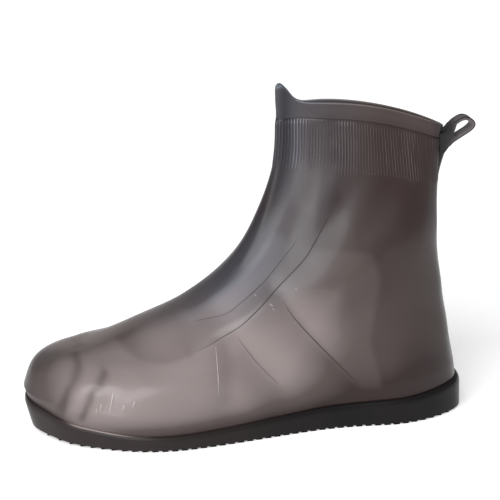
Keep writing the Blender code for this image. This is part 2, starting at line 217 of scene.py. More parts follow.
placeCount = 2 * (len(plan["along"]) - 1)
ringCount = placeCount * upper["columnsPerPlace"]
columns = placeCount * np.arange(ringCount) / ringCount
acrossRound = bothSides([-v for v in plan["outer"]], plan["inner"])
alongColumns = sameBothSides(plan["along"])
wallTops = sameBothSides(sole["wallHeight"] * np.array(plan["wallTop"]))
tucks = sole["tuck"] * sameBothSides(plan["tuck"])


def toX(along):
    return sole["length"] * (0.5 - along)


def toAlong(x):
    return 0.5 - x / sole["length"]


def between(low, high, values):
    # rises smoothly from 0 at low to 1 at high
    t = np.clip((values - low) / (high - low), 0, 1)
    return t * t * (3 - 2 * t)


def hump(distance, width):
    # 1 at no distance, fading smoothly over the width
    return np.exp(-((distance / width) ** 2))


def toeLift(x):
    start = sole["toeSpringStart"]
    return sole["toeSpring"] * (np.maximum(0, toAlong(x) - start) / (1 - start)) ** 2


def inset(points, distance):
    # inwards, square to the ring in plan
    run = np.roll(points, -1, 0) - np.roll(points, 1, 0)
    length = np.hypot(run[:, 0], run[:, 1])
    moved = points.copy()
    moved[:, 0] += run[:, 1] / length * distance
    moved[:, 1] -= run[:, 0] / length * distance
    return moved


def tidyRing(points):
    # keeps the two sides of a narrow ring from crossing where its wall turns inwards
    half = len(points) // 2
    found = points.copy()
    found[1:half, 1] = np.minimum(found[1:half, 1], -upper["narrowest"])
    found[half + 1:, 1] = np.maximum(found[half + 1:, 1], upper["narrowest"])
    found[:half + 1, 0] = np.minimum.accumulate(found[:half + 1, 0])
    found[half:, 0] = np.maximum.accumulate(found[half:, 0])
    return found


def sideOf(ring, side):
    # the outer half of a ring (-1), from heel to toe, or the inner half (1), from toe to heel
    half = len(ring) // 2
    first = 0 if side < 0 else half
    return ring[(first + np.arange(half + 1)) % len(ring)]


def sideAt(ring, side, x):
    # y and z at a place along one side of a ring
    part = sideOf(ring, side)
    part = part[np.argsort(part[:, 0])]
    return [np.interp(x, part[:, 0], part[:, k]) for k in (1, 2)]


def evenRing(points, count):
    # evenly spaced along each side
    found = []
    for side in (-1, 1):
        part = sideOf(points, side)
        run = np.concatenate([[0], np.cumsum(np.linalg.norm(np.diff(part, axis=0), axis=1))])
        targets = run[-1] * np.arange(count // 2) / (count // 2)
        found.append(np.stack([np.interp(targets, run, part[:, k]) for k in range(3)], 1))
    return np.concatenate(found)


def soleRing(levels, depth):
    # levels are heights above the sole's bottom, one for all columns or one for each
    x = toX(alongColumns)
    points = np.stack([x, sole["ballWidth"] * roundTable(acrossRound), toeLift(x) + levels], 1)
    return inset(points, depth + tucks * np.maximum(0, 1 - levels / wallTops))


def nearLine(points, knots):
    # distance to a line in the side view, and which side of it each point is on, from -1 to 1
    flat = points[:, [0, 2]]
    ends = np.array([(toX(along), up * upper["backHeight"]) for along, up in knots])
    found, facing = np.full(len(flat), np.inf), np.zeros(len(flat))
    for start, end in zip(ends, ends[1:]):
        run = end - start
        offset = flat - start
        share = np.clip(offset @ run / (run @ run), 0, 1)
        distance = np.linalg.norm(offset - share[:, None] * run, axis=1)
        nearer = distance < found
        found[nearer] = distance[nearer]
        across = (offset[:, 0] * run[1] - offset[:, 1] * run[0]) / np.linalg.norm(run)
        facing[nearer] = (across / np.maximum(distance, 1e-9))[nearer]
    return found, facing


def strokes(points, table, fade):
    # sum of soft strokes at each point, one row of the table for each stroke
    found = np.zeros(len(points))
    for side, knots, strength, spread in table:
        distance = nearLine(points, knots)[0]
        found += (np.sign(points[:, 1]) == side) * strength * hump(distance, spread)
    return found * np.minimum(1, np.abs(points[:, 1]) / fade)


def pressed(points, table):
    # how far the creases press the film in at each point
    sized = [(side, knots, depth * upper["creaseDepth"], spread * upper["creaseSpread"])
             for side, knots, depth, spread in table]
    return strokes(points, sized, upper["creaseFade"])


def upperRing(row, rise=0.0, spaced=0):
    # outer face of the upper at a section; rise lifts the peak, spaced gives an even number of points
    shape = {name: openTable(values, row) for name, values in sections.items()}
    back = np.array([toX(shape["back"]), 0, shape["backUp"] * upper["backHeight"]])
    front = np.array([toX(shape["front"]), 0, shape["frontUp"] * upper["frontHeight"]])
    widths = [shape[name] for name in ("heelRound", "heel", "waist", "ball", "toe", "toeRound")]
    half = sole["ballWidth"] * acrossRound * bothSides([0, *widths, 0], [0, *widths, 0])
    points = back + (front - back) * alongColumns[:, None]
    points[:, 1] = roundTable(half)
    hang = 4 * alongColumns * (1 - alongColumns)
    points[:, 2] += toeLift(points[:, 0]) - shape["dip"] * upper["backHeight"] * hang
    fromPeak = points[:, 0] - front[0] - band["peakBack"]
    points[:, 2] += rise * band["peakRise"] * hump(fromPeak, band["peakSpread"])
    points = inset(points, pressed(points, creases) * (1 - rise))
    return evenRing(points, spaced) if spaced else points


def newPiece(name, mesh):
    piece = bpy.data.objects.new(name, mesh)
    bpy.context.scene.collection.objects.link(piece)
    return piece


def loft(name, rings, firstCap=False, lastCap=False, ringClosed=False):
    count = len(rings[0])
    steps = np.arange(count)
    ahead = (steps + 1) % count
    faces = []
    for row in range(len(rings) if ringClosed else len(rings) - 1):
        low = row * count
        high = (row + 1) % len(rings) * count
        faces += np.stack([high + steps, high + ahead, low + ahead, low + steps], 1).tolist()
    lastRow = (len(rings) - 1) * count
    for k in range(count // 2):
        corners = list(dict.fromkeys([k, k + 1, count - k - 1, (count - k) % count]))
        if firstCap:
            faces.append(corners)
        if lastCap:
            faces.append([lastRow + corner for corner in reversed(corners)])
    mesh = bpy.data.meshes.new(name)
    mesh.from_pydata(np.concatenate(rings).tolist(), [], faces)
    return newPiece(name, mesh)


def newLines(name, chains):
    # a piece of bare edges, one run of them through each list of points
    mesh = bpy.data.meshes.new(name)
    points, edges = [], []
    for chain in chains:
        first = len(points)
        points += [tuple(point) for point in chain]
        edges += [(k, k + 1) for k in range(first, len(points) - 1)]
    mesh.from_pydata(points, edges, [])
    return newPiece(name, mesh)


def paint(piece, name, values):
    # one number for each vertex, or one for all
    layer = piece.data.attributes.new(name, "FLOAT", "POINT")
    layer.data.foreach_set("value", np.full(len(piece.data.vertices), values, np.float32))


def vertices(piece):
    found = np.empty(len(piece.data.vertices) * 3)
    piece.data.vertices.foreach_get("co", found)
    return found.reshape(-1, 3)


def feed(tree, node, inputs):
    # links the sockets and sets the plain values among a node's inputs
    for name, value in inputs.items():
        if isinstance(value, bpy.types.NodeSocket):
            tree.links.new(value, node.inputs[name])
        else:
            node.inputs[name].default_value = value
    return node


def addNode(tree, kind, inputs, output=0):
    return feed(tree, tree.nodes.new(kind), inputs).outputs[output]


def addMath(tree, operation, *values, clamp=False):
    node = tree.nodes.new("ShaderNodeMath")
    node.operation = operation
    node.use_clamp = clamp
    return feed(tree, node, dict(enumerate(values))).outputs[0]


def addMix(tree, share, first, second, blend="MIX"):
    # the numbers are those of the sockets for colours
    node = tree.nodes.new("ShaderNodeMix")
    node.data_type = "RGBA"
    node.blend_type = blend
    return feed(tree, node, {0: share, 6: first, 7: second}).outputs[2]


def addNoise(tree, scale, detail):
    place = addNode(tree, "ShaderNodeTexCoord", {}, "Object")
    return addNode(tree, "ShaderNodeTexNoise", {"Vector": place, "Scale": scale, "Detail": detail})


def newTree(name, kind, inputs, outputs):
    # sockets are given as a name, a type and, where it matters, a first value
    tree = bpy.data.node_groups.new(name, kind)
    for way, sockets in (("INPUT", inputs), ("OUTPUT", outputs)):
        for label, socketType, *first in sockets:
            socket = tree.interface.new_socket(label, in_out=way, socket_type="NodeSocket" + socketType)
            if first:
                socket.default_value = first[0]
    return tree, tree.nodes.new("NodeGroupInput").outputs, tree.nodes.new("NodeGroupOutput").inputs


film = {
    "light": (0.325, 0.275, 0.270, 1),
    "middle": (0.086, 0.066, 0.063, 1),
    "dark": (0.020, 0.0098, 0.0092, 1),
    "soleDark": (0.0066, 0.0058, 0.0060, 1),
    "coolTint": (0.72, 1.00, 1.28, 1),
    "coatRoughness": 0.18,
    "grainHeight": 0.00005,
    "grainStrength": 0.5,
}


def makeSmokyTone():
    # Colour of the smoky film from its painted tone, which holds painted shade and highlights, with soft
    # clouds.
    tree, given, result = newTree("smokyTone", "ShaderNodeTree", [
        ("Depth", "Float", 0.5), ("Light", "Color", film["light"]), ("Middle", "Color", film["middle"]),
        ("Dark", "Color", film["dark"]), ("Cloud size", "Float", 22.0), ("Cloud strength", "Float", 0.12),
        ("Thin cover", "Float", 1.0), ("Thick cover", "Float", 1.0), ("Coolness", "Float", 0.0),
        ("Cool tint", "Color", film["coolTint"])],
        [("Color", "Color"), ("Cover", "Float")])
    centred = addMath(tree, "SUBTRACT", addNoise(tree, given["Cloud size"], 3.0), 0.5)
    depth = addMath(tree, "MULTIPLY_ADD", centred, given["Cloud strength"], given["Depth"], clamp=True)
    color = given["Light"]
    for start, darker in ((0.0, "Middle"), (0.5, "Dark")):
        share = addNode(tree, "ShaderNodeMapRange", {
            "Value": depth, "From Min": start, "From Max": start + 0.5})
        color = addMix(tree, share, color, given[darker])
    color = addMix(tree, given["Coolness"], color, given["Cool tint"], "MULTIPLY")
    cover = addNode(tree, "ShaderNodeMapRange", {
        "Value": depth, "To Min": given["Thin cover"], "To Max": given["Thick cover"]})
    tree.links.new(color, result["Color"])
    tree.links.new(cover, result["Cover"])
    return tree


def makeHandledSkin():
    # Smudges in the gloss and the fine unevenness of a moulded skin.
    tree, given, result = newTree("handledSkin", "ShaderNodeTree", [
        ("Roughness", "Float", 0.3), ("Smudges", "Float", 0.12), ("Smudge size", "Float", 38.0),
        ("Grain size", "Float", 90.0)],
        [("Roughness", "Float"), ("Height", "Float")])
    smudge = addNode(tree, "ShaderNodeMapRange", {
        "Value": addNoise(tree, given["Smudge size"], 4.0), "From Min": 0.35, "From Max": 0.70,
        "To Min": -0.3})
    rough = addMath(tree, "MULTIPLY_ADD", smudge, given["Smudges"], given["Roughness"], clamp=True)
    tree.links.new(rough, result["Roughness"])
    tree.links.new(addNoise(tree, given["Grain size"], 2.0), result["Height"])
    return tree


smokyTone = makeSmokyTone()
handledSkin = makeHandledSkin()


def addGroup(tree, group, inputs):
    node = tree.nodes.new("ShaderNodeGroup")
    node.node_tree = group
    return feed(tree, node, inputs).outputs


def readAttribute(tree, name):
    node = tree.nodes.new("ShaderNodeAttribute")
    node.attribute_name = name
    return node.outputs["Fac"]


def smokyRubber(name, roughness, coat, gloss, clouds=0.12, cover=None, dark=film["dark"], depth=None):
    # Principled rubber whose tone follows the piece's own attributes, or is one depth all over.
    material = bpy.data.materials.new(name)
    material.use_nodes = True
    tree = material.node_tree
    toneInputs = {"Cloud strength": clouds, "Dark": dark}
    if depth is None:
        toneInputs["Depth"] = readAttribute(tree, "depth")
        toneInputs["Coolness"] = readAttribute(tree, "coolness")
    else:
        toneInputs["Depth"] = depth
    if cover:
        toneInputs["Thin cover"], toneInputs["Thick cover"] = cover
    tone = addGroup(tree, smokyTone, toneInputs)
    skin = addGroup(tree, handledSkin, {"Roughness": roughness})
    relief = addNode(tree, "ShaderNodeBump", {
        "Strength": film["grainStrength"], "Distance": film["grainHeight"], "Height": skin["Height"]})
    shader = feed(tree, tree.nodes["Principled BSDF"], {
        "Base Color": tone["Color"], "Roughness": skin["Roughness"], "Normal": relief,
        "Specular IOR Level": gloss, "Coat Weight": coat, "Coat Roughness": film["coatRoughness"]})
    if cover:
        tree.links.new(tone["Cover"], shader.inputs["Alpha"])
    return material


filmSkin = smokyRubber("smokyFilm", 0.36, coat=0.20, gloss=0.22, cover=(0.72, 0.97))
wrinkleSkin = smokyRubber("wrinkleGlintFilm", 0.20, coat=0.50, gloss=0.5, clouds=0.0)
cuffSkin = smokyRubber("smokyCuff", 0.36, coat=0.08, gloss=0.25, cover=(0.75, 0.97))
bandSkin = smokyRubber("rimRubber", 0.34, coat=0.10, gloss=0.25, clouds=0.06, cover=(0.70, 0.97))
soleSkin = smokyRubber("soleRubber", 0.38, coat=0.10, gloss=0.09, clouds=0.06, dark=film["soleDark"])
treadSkin = smokyRubber("treadRubber", 0.5, coat=0.0, gloss=0.08, clouds=0.04, dark=film["soleDark"],
                        depth=1.0)
strapSkin = smokyRubber("strapRubber", 0.42, coat=0.05, gloss=0.25, clouds=0.05, dark=film["soleDark"])
print("materials made")


def newSweep(name, sizes):
    # a Geometry Nodes tree that takes lines, sizes and a material
    inputs = [("Geometry", "Geometry"), *sizes, ("Material", "Material")]
    return newTree(name, "GeometryNodeTree", inputs, [("Geometry", "Geometry")])


def sweepLines(tree, given, result, section, scale=1.0):
    # the end of such a tree: the section swept along its lines, as plain faces
    curves = addNode(tree, "GeometryNodeMeshToCurve", {"Mesh": given["Geometry"]})
    swept = addNode(tree, "GeometryNodeCurveToMesh", {
        "Curve": curves, "Profile Curve": section, "Scale": scale, "Fill Caps": True})
    real = addNode(tree, "GeometryNodeRealizeInstances", {"Geometry": swept})
    dressed = addNode(tree, "GeometryNodeSetMaterial", {"Geometry": real, "Material": given["Material"]})
    tree.links.new(dressed, result["Geometry"])
    return tree


def makeRibTree():
    # a round rib along every line, thinner towards its ends
    tree, given, result = newSweep("roundRibs", [
        ("Fade", "Float", 0.1), ("Sides", "Int", 8), ("Thinnest", "Float", 0.00005)])
    place = addNode(tree, "GeometryNodeSplineParameter", {}, "Factor")
    toEnd = addMath(tree, "MINIMUM", place, addMath(tree, "SUBTRACT", 1.0, place))
    share = addMath(tree, "DIVIDE", toEnd, given["Fade"], clamp=True)
    half = addNode(tree, "GeometryNodeInputNamedAttribute", {"Name": "halfThickness"}, "Attribute")
    rounded = addMath(tree, "POWER", share, 0.5)
    thick = addMath(tree, "MULTIPLY_ADD", rounded, half, given["Thinnest"])
    section = addNode(tree, "GeometryNodeCurvePrimitiveCircle", {
        "Radius": 1.0, "Resolution": given["Sides"]})
    return sweepLines(tree, given, result, section, thick)


def makeBarTree():
    # a bar with drafted sides along every line
    tree, given, result = newSweep("draftedBars", [
        ("Width", "Float", 0.004), ("Height", "Float", 0.002), ("Draft", "Float", 0.0)])
    section = tree.nodes.new("GeometryNodeCurvePrimitiveQuadrilateral")
    section.mode = "TRAPEZOID"
    feed(tree, section, {
        "Bottom Width": given["Width"], "Height": given["Height"], "Offset": 0.0,
        "Top Width": addMath(tree, "SUBTRACT", given["Width"], given["Draft"])})
    # the section's Y points down when swept
    raised = addNode(tree, "ShaderNodeCombineXYZ", {"Y": addMath(tree, "MULTIPLY", given["Height"], -0.5)})
    placed = addNode(tree, "GeometryNodeTransform", {
        "Geometry": section.outputs["Curve"], "Translation": raised})
    return sweepLines(tree, given, result, placed)


ribTree = makeRibTree()
barTree = makeBarTree()


def throughNodes(piece, tree, values):
    # runs the tree on the piece and keeps its result as a plain mesh
    maker = piece.modifiers.new(tree.name, "NODES")
    maker.node_group = tree
    for item in tree.interface.items_tree:
        if item.in_out == "INPUT" and item.name in values:
            maker[item.identifier] = values[item.name]
    graph = bpy.context.evaluated_depsgraph_get()
    made = bpy.data.meshes.new_from_object(piece.evaluated_get(graph), preserve_all_data_layers=True,
                                           depsgraph=graph)
    piece.modifiers.remove(maker)
    old = piece.data
    piece.data = made
    bpy.data.meshes.remove(old)
    made.name = piece.name


def roundOff(piece, halfThickness, fade, sides, skin):
    # makes round ribs of a piece of lines
    paint(piece, "halfThickness", halfThickness)
    throughNodes(piece, ribTree, {"Fade": fade, "Sides": sides, "Material": skin})


def finish(piece, body, replaced, material, angle):
    if material:
        piece.data.materials.append(material)
    piece.data.shade_smooth()
    piece.data.set_sharp_from_angle(angle=math.radians(angle))
    if replaced:
        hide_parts(replaced)
    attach(piece, body)
    print(piece.name, "made")


# How dark the smoky film looks at a place: light over the forefoot, darker towards the heel and up
# the shaft, with painted shade beside the sole, in the front fold, along the back edge, the top of
# the foot and the toe's end. A reach is where something starts and where it is full.
shade = {
    "forefoot": 0.10,
    "heel": 0.66,
    "heelReach": (0.46, 0.14),
    "shaft": 0.55,
    "shaftReach": (0.038, 0.150),
    "both": 0.27,  # share of the lesser of heel and shaft that adds to the greater
    # painted shade on the film beside the sole's wall
    "besideSole": 0.75,
    "besideSoleStart": 0.002,  # above the sole's wall
    "besideSoleHeight": 0.0075,
    "besideHeel": 1.2,  # how much higher it reaches at the heel, as a share
    "besideHeelReach": (0.55, 0.25),
    "besideToe": 0.28,  # share of it that is left at the toe
    "besideToeReach": (0.90, 0.66),
    # painted shade in the fold down the front of the shaft
    "frontFold": 0.30,
    "frontFoldBack": 0.0045,  # from the front edge to the middle of the dark fold
    "frontFoldWidth": 0.0054,
    "frontFoldReach": (0.070, 0.100),
    # painted shade along the back edge
    "backEdge": 0.34,
    "backEdgeWidth": 0.0052,
    "backEdgeReach": (0.02, 0.05),
    "ridge": 0.25,  # painted shade along the top of the foot
    "ridgeWidth": 0.015,
    "ridgeReach": (0.40, 0.55),
    # painted shade at the toe's end
    "toeEnd": 0.40,
    "toeEndWidth": 0.020,
    "foldShadeSharpness": 0.0012,  # how sharply the painted fold shade starts
    "toneFade": 0.0060,  # from the middle of the foot
}

# How bluish the film looks at the front of the shaft, and how grey along its back edge and its toe.
cool = {
    "front": 0.5,
    "frontReach": (0.075, 0.022),  # from the front edge
    "frontHeights": (0.060, 0.110),
    "foldSpread": 1.5,  # of the dark fold's width
    "backEdge": 0.3,
    "toe": 0.15,
}

# Painted shade, or painted light where the change of tone is negative, that starts sharply at a fold of the
# film: side, change of tone, how far it spreads from the edge (up and to the toe if the line runs down to the
# toe, to the other side if negative), and the line's knots.
longFold = [(0.301, 0.795), (0.367, 0.629), (0.446, 0.502), (0.54, 0.384), (0.649, 0.309)]
middleFold = [(0.447, 0.485), (0.36, 0.305), (0.259, 0.124)]
shortFold = [(0.547, 0.364), (0.497, 0.258), (0.452, 0.182)]
heelPatch = [(0.363, 0.626), (0.238, 0.609), (0.22, 0.518), (0.228, 0.425), (0.242, 0.308), (0.215, 0.144)]
innerLongFold = [(0.305, 0.78), (0.37, 0.62), (0.445, 0.5), (0.535, 0.385), (0.64, 0.312)]
innerMiddleFold = [(0.45, 0.48), (0.365, 0.305), (0.27, 0.15)]
foldShadeEdges = [
    (-1, 0.07, 0.008, longFold),
    (-1, -0.05, 0.01, [(0.387, 0.672), (0.464, 0.529), (0.529, 0.45), (0.637, 0.385)]),
    (-1, -0.05, -0.014, middleFold),
    (-1, 0.08, 0.009, middleFold),
    (-1, -0.07, -0.012, shortFold),
    (-1, 0.05, 0.008, shortFold),
    (-1, -0.03, 0.013, [(0.446, 0.496), (0.326, 0.493), (0.317, 0.475), (0.313, 0.327)]),
    (-1, -0.1, 0.016, heelPatch),
    (-1, 0.08, -0.012, heelPatch),
    (-1, 0.04, -0.03, [(0.255, 0.876), (0.269, 0.624)]),
    (-1, 0.1, -0.012, [(0.805, 0.335), (0.785, 0.308), (0.754, 0.29), (0.704, 0.288), (0.649, 0.309)]),
    (1, 0.07, 0.008, innerLongFold),
    (1, -0.08, -0.013, innerMiddleFold),
    (1, -0.09, 0.015, [(0.37, 0.61), (0.24, 0.6), (0.225, 0.43), (0.22, 0.16)]),
]

# Streaks of painted shade along the film's folds and pleats, or of painted light if negative: side, knots,
# change of tone, and half width.
shadeAndLightStreaks = [
    (-1, [(0.388, 0.888), (0.387, 0.766)], -0.1, 0.003),  # above the ankle
    (-1, [(0.357, 0.886), (0.372, 0.781)], 0.07, 0.0024),
    (-1, [(0.312, 0.887), (0.366, 0.75)], -0.11, 0.0044),
    (-1, [(0.45, 0.65), (0.56, 0.45)], -0.2, 0.011),
    (-1, [(0.23, 0.38), (0.215, 0.2)], -0.06, 0.012),
    (-1, [(0.318, 0.85), (0.345, 0.73)], -0.09, 0.0042),
    (-1, [(0.298, 0.78), (0.328, 0.65)], 0.08, 0.005),
    (-1, [(0.214, 0.96), (0.232, 0.7)], 0.07, 0.011),
    (-1, [(0.422, 0.465), (0.359, 0.372)], -0.06, 0.011),
    (-1, [(0.515, 0.36), (0.439, 0.25)], -0.08, 0.01),
    (-1, [(0.575, 0.33), (0.578, 0.17)], 0.09, 0.005),
    (-1, [(0.89, 0.305), (0.77, 0.31)], 0.09, 0.009),
    (-1, [(0.55, 0.26), (0.47, 0.12)], 0.12, 0.011),
    (-1, [(0.172, 0.335), (0.122, 0.567)], -0.03, 0.01),  # the heel's patches of painted light
    (-1, [(0.197, 0.22), (0.2, 0.13)], -0.09, 0.01),
    (-1, [(0.13, 1.02), (0.135, 0.88)], -0.05, 0.011),
    (-1, [(0.38, 1.09), (0.33, 1.05)], 0.08, 0.009),  # the rim behind the peak
    (-1, firstPleat, 0.22, 0.0027),
    (-1, secondPleat, 0.25, 0.0026),
    (-1, [(0.94, 0.2), (0.945, 0.11)], 0.08, 0.01),
    (1, [(0.33, 0.89), (0.38, 0.77)], -0.07, 0.005),
    (1, [(0.52, 0.35), (0.44, 0.24)], -0.09, 0.01),
    (1, innerPleat, 0.15, 0.0036),
]


def edgeLine(end, z):
    # x of the upper's front or back edge at a height
    rows = np.linspace(0, rimRow, upper["edgeRows"])
    heights = [openTable(sections[end + "Up"], row) * upper[end + "Height"] for row in rows]
    return np.interp(z, heights, [toX(openTable(sections[end], row)) for row in rows])


def foldShading(points):
    # sum of painted shade and light that start sharply at a fold's edge and fade away on one side of it
    found = np.zeros(len(points))
    for side, strength, spread, knots in foldShadeEdges:
        distance, facing = nearLine(points, knots)
        reach = np.where(facing * spread > 0, abs(spread), shade["foldShadeSharpness"])
        found += (np.sign(points[:, 1]) == side) * strength * np.abs(facing) * hump(distance, reach)
    return found * np.minimum(1, np.abs(points[:, 1]) / shade["toneFade"])


def filmToneAndShade(points):
    x, y, z = points.T
    along = toAlong(x)
    heel = shade["heel"] * between(*shade["heelReach"], along)
    shaft = shade["shaft"] * between(*shade["shaftReach"], z)
    depth = shade["forefoot"] + np.maximum(heel, shaft) + shade["both"] * np.minimum(heel, shaft)
    # painted shade on the film just above the sole's wall, reaching higher at the heel and less of it at the
    # toe
    wallTop = toeLift(x) + sole["wallHeight"] * np.interp(along, plan["along"], plan["wallTop"])
    height = shade["besideSoleHeight"] * (1 + shade["besideHeel"] * between(*shade["besideHeelReach"], along))
    nearSole = np.exp(-np.maximum(0, z - wallTop - shade["besideSoleStart"]) / height)
    toToe = shade["besideToe"] + (1 - shade["besideToe"]) * between(*shade["besideToeReach"], along)
    depth += shade["besideSole"] * nearSole * toToe
    # painted shade in the front fold
    inFold = hump(x - edgeLine("front", z) - shade["frontFoldBack"], shade["frontFoldWidth"])
    depth += shade["frontFold"] * inFold * between(*shade["frontFoldReach"], z)
    # painted shade along the outline: the back edge, the top of the foot and the toe's end
    atBack = hump(edgeLine("back", z) - x, shade["backEdgeWidth"])
    depth += shade["backEdge"] * atBack * between(*shade["backEdgeReach"], z)
    depth += shade["ridge"] * hump(y, shade["ridgeWidth"]) * between(*shade["ridgeReach"], along)
    depth += shade["toeEnd"] * hump(sole["length"] / 2 + x, shade["toeEndWidth"])
    return np.clip(depth + strokes(points, shadeAndLightStreaks, shade["toneFade"]) + foldShading(points), 0, 1)


def coolness(points):
    x, y, z = points.T
    fromFront = x - edgeLine("front", z)
    inFold = hump(fromFront - shade["frontFoldBack"], cool["foldSpread"] * shade["frontFoldWidth"])
    found = cool["front"] * (between(*cool["frontReach"], fromFront) + inFold)
    found *= between(*cool["frontHeights"], z)
    found += cool["backEdge"] * hump(edgeLine("back", z) - x, shade["backEdgeWidth"])
    found += cool["toe"] * hump(sole["length"] / 2 + x, shade["toeEndWidth"])
    return np.clip(found, 0, 1)


def paintFilm(piece, change=0.0):
    points = vertices(piece)
    paint(piece, "depth", np.clip(filmToneAndShade(points) + change, 0, 1))
    paint(piece, "coolness", coolness(points))


def softWaves(points):
    # the slow unevenness of a film pulled over something
    values = [noise.noise(Vector(point) / upper["waveSize"]) for point in points.tolist()]
    return upper["waves"] * np.array(values)


def filmRings():
    # outer face of the film, from the sole's plate to the rib heads
    inside = sole["wall"] + upper["gap"]
    floor = sole["plate"] + upper["gap"]
    corner = upper["floorCorner"]
    rings = []
    for turn in np.linspace(0, math.pi / 2, upper["cornerRings"]):
        rings.append(soleRing(floor + corner * (1 - math.cos(turn)), inside + corner * (1 - math.sin(turn))))
    for share in upper["wallShares"]:
        rings.append(soleRing(floor + corner + (wallTops - floor - corner) * share, inside))
    lowest = upperRing(0)
    top = rings[-1]
    for share in upper["joinShares"]:
        rings.append(top + (lowest - top) * share)
    start = len(rings)
    for step in range(ribFoot * upper["rowsPerSection"] + 1):
        ring = upperRing(step / upper["rowsPerSection"])
        rings.append(inset(ring, pressed(ring, pleats)))
    for index in range(start, len(rings)):
        hold = min(1, min(index - start, len(rings) - 1 - index) / upper["waveFadeRows"])
        rings[index] = inset(rings[index], softWaves(rings[index]) * hold)
    for row in np.linspace(ribFoot, ribHead, cuff["rows"] + 1)[1:]:
        rings.append(upperRing(row))
    return rings


def makeUpper(rings):
    piece = loft("upperFilm", rings, firstCap=True)
    paintFilm(piece)
    wall = piece.modifiers.new("film", "SOLIDIFY")
    wall.thickness = upper["film"]
    wall.offset = -1
    finish(piece, "root", "upper_shell", filmSkin, 60)


line = {
    "sunk": 0.5,  # share of a line's half thickness by which its middle lies under the film's face
    "pointsPerKnot": 6,
    "fade": 0.3,  # share of its length over which it thins out at each end
    "sides": 8,
}

# Fine raised lines on the film, painted lighter as painted highlights: side, change of tone, half thickness,
# and the line's knots.
wrinkles = [
    (-1, -0.04, 0.00044, [(0.591, 0.338), (0.594, 0.17)]),  # the long thin one across the quarter
    (-1, -0.05, 0.0009, [(0.819, 0.208), (0.826, 0.165), (0.832, 0.13)]),
    (-1, -0.05, 0.00125, [(0.798, 0.172), (0.804, 0.148)]),
    (-1, -0.05, 0.001, [(0.776, 0.186), (0.783, 0.16)]),
    (-1, -0.05, 0.0008, [(0.846, 0.166), (0.85, 0.134)]),
    (-1, -0.05, 0.0007, [(0.856, 0.15), (0.859, 0.126)]),
    (-1, -0.12, 0.0007, [(0.468, 0.456), (0.459, 0.447)]),  # painted glints where the folds meet
    (-1, -0.12, 0.0006, [(0.463, 0.44), (0.456, 0.436)]),
    (-1, -0.12, 0.0005, [(0.497, 0.48), (0.492, 0.476)]),
    (-1, -0.12, 0.0005, [(0.41, 0.499), (0.402, 0.498)]),
    (1, -0.05, 0.0009, [(0.83, 0.205), (0.838, 0.13)]),
    (1, -0.05, 0.001, [(0.808, 0.18), (0.81, 0.14)]),
    (1, -0.04, 0.00042, [(0.6, 0.33), (0.603, 0.165)]),
]

# The film's folds, thin raised lines with painted shade, in the same form.
folds = [
    (-1, 0.24, 0.00038, [(0.387, 0.672), (0.417, 0.612), (0.464, 0.529), (0.492, 0.492),
                         (0.529, 0.45), (0.565, 0.416), (0.637, 0.385)]),
    (-1, 0.24, 0.00042, [(0.301, 0.795), (0.333, 0.712), (0.367, 0.629), (0.39, 0.585),
                         (0.446, 0.502), (0.499, 0.432), (0.54, 0.384), (0.599, 0.336),
                         (0.649, 0.309)]),
    (-1, 0.28, 0.00045, [(0.447, 0.485), (0.414, 0.404), (0.36, 0.305), (0.309, 0.221), (0.259, 0.14)]),
    (-1, 0.2, 0.0004, [(0.547, 0.364), (0.521, 0.305), (0.497, 0.258), (0.452, 0.182)]),
    (1, 0.24, 0.0004, innerLongFold),
    (1, 0.24, 0.0004, innerMiddleFold),
    (1, 0.2, 0.0004, [(0.555, 0.36), (0.5, 0.255), (0.455, 0.18)]),
]


def onFilm(rings, x, z, side):
    # the place on the film's outer face on one side of the foot
    depths, heights = np.array([sideAt(ring, side, x) for ring in rings]).T
    order = np.argsort(heights)
    return float(np.interp(z, heights[order], depths[order]))


def makeLines(name, table, skin, rings):
    # fine ridges that lie on the film, thinner towards their ends
    chains, tones, halves = [], [], []
    above = rings[upper["cornerRings"] + len(upper["wallShares"]):]
    for side, tone, half, knots in table:
        chain = []
        for share in np.linspace(0, len(knots) - 1, line["pointsPerKnot"] * len(knots)):
            along, up = openTable(knots, share)
            x, z = toX(along), up * upper["backHeight"]
            chain.append((x, onFilm(above, x, z, side) - side * line["sunk"] * half, z))
        chains.append(chain)
        tones += [tone] * len(chain)
        halves += [half] * len(chain)
    piece = newLines(name, chains)
    # the wrinkles' tones are painted highlights, the folds' painted shade
    paintFilm(piece, tones)
    roundOff(piece, halves, line["fade"], line["sides"], skin)
    finish(piece, "root", None, None, 80)


def ribNoise(step, row):
    # soft changes from rib to rib
    return np.array([noise.noise(Vector((rib * step, row, 0.5))) for rib in range(cuff["ribs"])])


